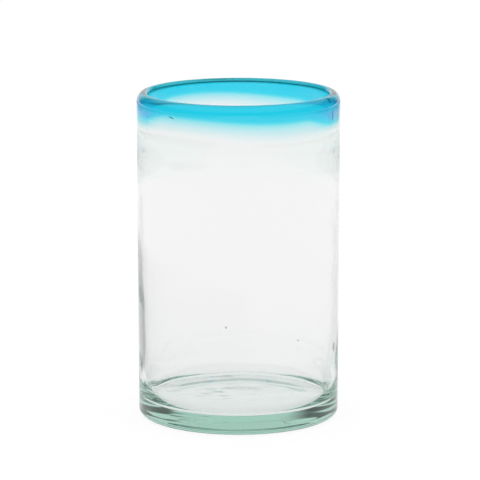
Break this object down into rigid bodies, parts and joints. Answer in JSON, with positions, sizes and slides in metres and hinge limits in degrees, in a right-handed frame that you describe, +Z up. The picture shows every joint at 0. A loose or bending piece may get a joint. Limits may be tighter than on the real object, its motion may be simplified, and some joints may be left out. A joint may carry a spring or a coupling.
{
  "type": "highball glass",
  "caption": "Straight-sided hand-blown highball glass of clear recycled glass with a heavy green-tinted base and a rounded aqua lip wrap that feathers into the wall.",
  "frame": {"origin": "on the table under the middle of the glass, in the plane of the base's resting ring", "axes": "+Z up along the axis of the glass towards the lip; X and Y are free round the axis, with -Y the side that the picture shows"},
  "size_m": [0.0838, 0.0838, 0.135],
  "materials": {
    "clear_recycled_glass": "fire-polished clear glass with a faint green tint and small seeds",
    "aqua_glass": "fire-polished aqua glass"
  },
  "bodies": {
    "root": {"tumbler_body": "clear_recycled_glass", "aqua_lip_wrap": "aqua_glass"}
  },
  "joints": []
}
